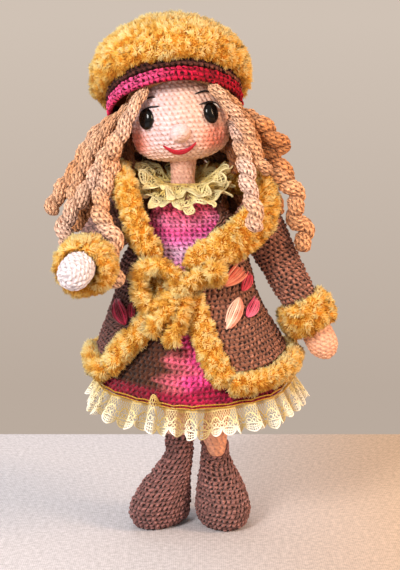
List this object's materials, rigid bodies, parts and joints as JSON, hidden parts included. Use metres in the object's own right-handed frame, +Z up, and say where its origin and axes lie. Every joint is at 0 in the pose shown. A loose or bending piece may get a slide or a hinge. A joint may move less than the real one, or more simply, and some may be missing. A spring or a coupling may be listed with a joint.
{
  "type": "amigurumi doll",
  "caption": "Standing crocheted doll with a lift-off fluffy hat, corkscrew hair, turning head and arms, a lace-hemmed dress and a coat with fluffy edging.",
  "frame": {"origin": "on the floor under the middle of the doll's box, on the level of the boot soles", "axes": "+Z up from the soles to the hat, +X towards the doll's own left side, -Y the way the doll faces"},
  "size_m": [0.1828, 0.156, 0.3172],
  "materials": {
    "skin_yarn": "tight single crochet in pale pink cotton",
    "caramel_yarn": "caramel crochet yarn, twisted into curls",
    "brown_yarn": "crochet in mottled mauve brown yarn",
    "boot_yarn": "tight single crochet in warm brown yarn",
    "pink_yarn": "crochet in shaded pink yarn",
    "variegated_yarn": "crochet in yarn that runs from beige through pink to wine",
    "fluffy_yarn": "fluffy mustard yellow tuft yarn",
    "lace_thread": "pale yellow gathered thread lace",
    "gold_thread": "gold braid with a slight shine",
    "eye_black": "glossy black",
    "washer_plastic": "plain white moulding",
    "crimson_thread": "embroidery thread, satin stitch",
    "red_thread": "embroidery thread, satin stitch",
    "salmon_thread": "embroidery thread, satin stitch",
    "pink_thread": "embroidery thread, satin stitch",
    "cream_thread": "embroidery thread, satin stitch",
    "joint_thread": "strong waxed thread",
    "dowel_wood": "plain sanded beech",
    "insole_felt": "stiff pressed felt"
  },
  "bodies": {
    "torso": {"torso": "skin_yarn", "neck_dowel": "dowel_wood", "right_leg": "skin_yarn", "left_leg": "skin_yarn", "right_boot": "boot_yarn", "left_boot": "boot_yarn", "right_insole": "insole_felt", "left_insole": "insole_felt", "right_shoulder_thread": "joint_thread", "left_shoulder_thread": "joint_thread", "dress_bodice": "pink_yarn", "dress_skirt": "variegated_yarn", "gold_braid": "gold_thread", "skirt_lace": "lace_thread", "neck_lace_lower": "lace_thread", "neck_lace_upper": "lace_thread", "coat_body": "brown_yarn", "right_front_trim": "fluffy_yarn", "left_front_trim": "fluffy_yarn", "hem_trim": "fluffy_yarn", "coat_collar": "fluffy_yarn", "coat_tie": "fluffy_yarn", "left_petal_fan": "salmon_thread", "left_petal_red": "red_thread", "left_petal_cream": "cream_thread", "left_petal_pink": "pink_thread", "right_petal_dark": "crimson_thread", "right_petal_small": "crimson_thread"},
    "head": {"head": "skin_yarn", "nose": "skin_yarn", "mouth": "red_thread", "wig_cap": "caramel_yarn", "right_eye": "eye_black", "left_eye": "eye_black", "right_eye_washer": "washer_plastic", "left_eye_washer": "washer_plastic", "hair_right_front": "caramel_yarn", "hair_right_outer": "caramel_yarn", "hair_right_inner": "caramel_yarn", "hair_right_side": "caramel_yarn", "hair_left_front": "caramel_yarn", "hair_left_inner": "caramel_yarn", "hair_left_upper": "caramel_yarn", "hair_left_middle": "caramel_yarn", "hair_left_outer": "caramel_yarn", "hair_back_right": "caramel_yarn", "hair_back_right_middle": "caramel_yarn", "hair_back_left_middle": "caramel_yarn", "hair_back_left": "caramel_yarn"},
    "hat": {"hat_band_pink": "pink_yarn", "hat_band_brown": "brown_yarn", "hat_crown": "fluffy_yarn"},
    "right_arm": {"right_arm": "skin_yarn", "right_sleeve": "brown_yarn", "right_cuff": "fluffy_yarn"},
    "left_arm": {"left_arm": "skin_yarn", "left_sleeve": "brown_yarn", "left_cuff": "fluffy_yarn"}
  },
  "joints": [
    {"name": "head_turn", "type": "hinge", "parent": "torso", "child": "head", "pos_m": [-0.0059, 0.0157, 0.232], "axis": [0, 0, 1], "range_deg": [-25, 25], "deforming": ["hair_right_front", "hair_right_outer", "hair_right_inner", "hair_right_side", "hair_left_front", "hair_left_inner", "hair_left_upper", "hair_left_middle", "hair_left_outer", "hair_back_right", "hair_back_right_middle", "hair_back_left_middle", "hair_back_left"]},
    {"name": "right_shoulder", "type": "hinge", "parent": "torso", "child": "right_arm", "pos_m": [-0.0475, 0.0157, 0.192], "axis": [-0.9272, 0, 0.3746], "range_deg": [-71, 45]},
    {"name": "left_shoulder", "type": "hinge", "parent": "torso", "child": "left_arm", "pos_m": [0.0405, 0.0157, 0.192], "axis": [-0.9272, 0, -0.3746], "range_deg": [-30, 80], "deforming": ["coat_collar"]},
    {"name": "hat_lift", "type": "slide", "parent": "head", "child": "hat", "axis": [-0.0918, 0.4179, 0.9039], "range_m": [0, 0.085]}
  ]
}
